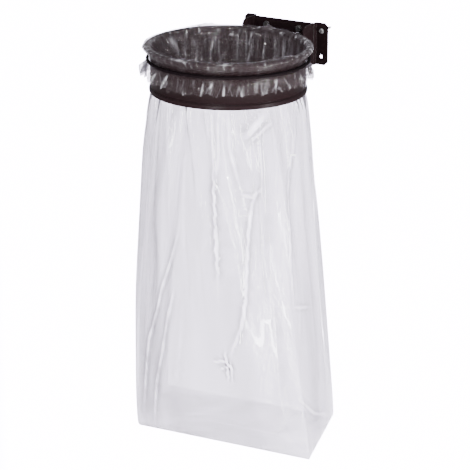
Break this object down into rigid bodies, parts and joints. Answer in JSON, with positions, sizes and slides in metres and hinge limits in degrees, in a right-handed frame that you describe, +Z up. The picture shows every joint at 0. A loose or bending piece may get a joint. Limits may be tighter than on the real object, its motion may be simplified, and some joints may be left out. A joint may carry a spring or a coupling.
{
  "type": "wall-mounted bin bag holder",
  "caption": "Steel ring on a bracket that bolts to a wall plate and holds a film bin bag open, with a rubber belt that clamps the bag's folded edge.",
  "frame": {"origin": "on the wall plane, midway between the axes of the two upper wall screws", "axes": "+X to the right as one faces the wall, +Y into the wall, +Z up"},
  "size_m": [0.5267, 0.5423, 0.969],
  "materials": {
    "painted_steel": "dark brown-black satin powder coat",
    "rubber": "semi-gloss",
    "film": "thin pale grey film, slightly translucent",
    "zinc": "bright zinc plated",
    "dark_zinc": "darkened zinc plated"
  },
  "bodies": {
    "root": {"wall_plate": "painted_steel", "ring_bracket": "painted_steel", "ring": "painted_steel", "arm_welds": "painted_steel", "belt": "rubber", "bag": "film", "bracket_bolts": "dark_zinc", "bracket_washers": "dark_zinc", "bracket_nuts": "dark_zinc", "wall_screws": "zinc"}
  },
  "joints": []
}
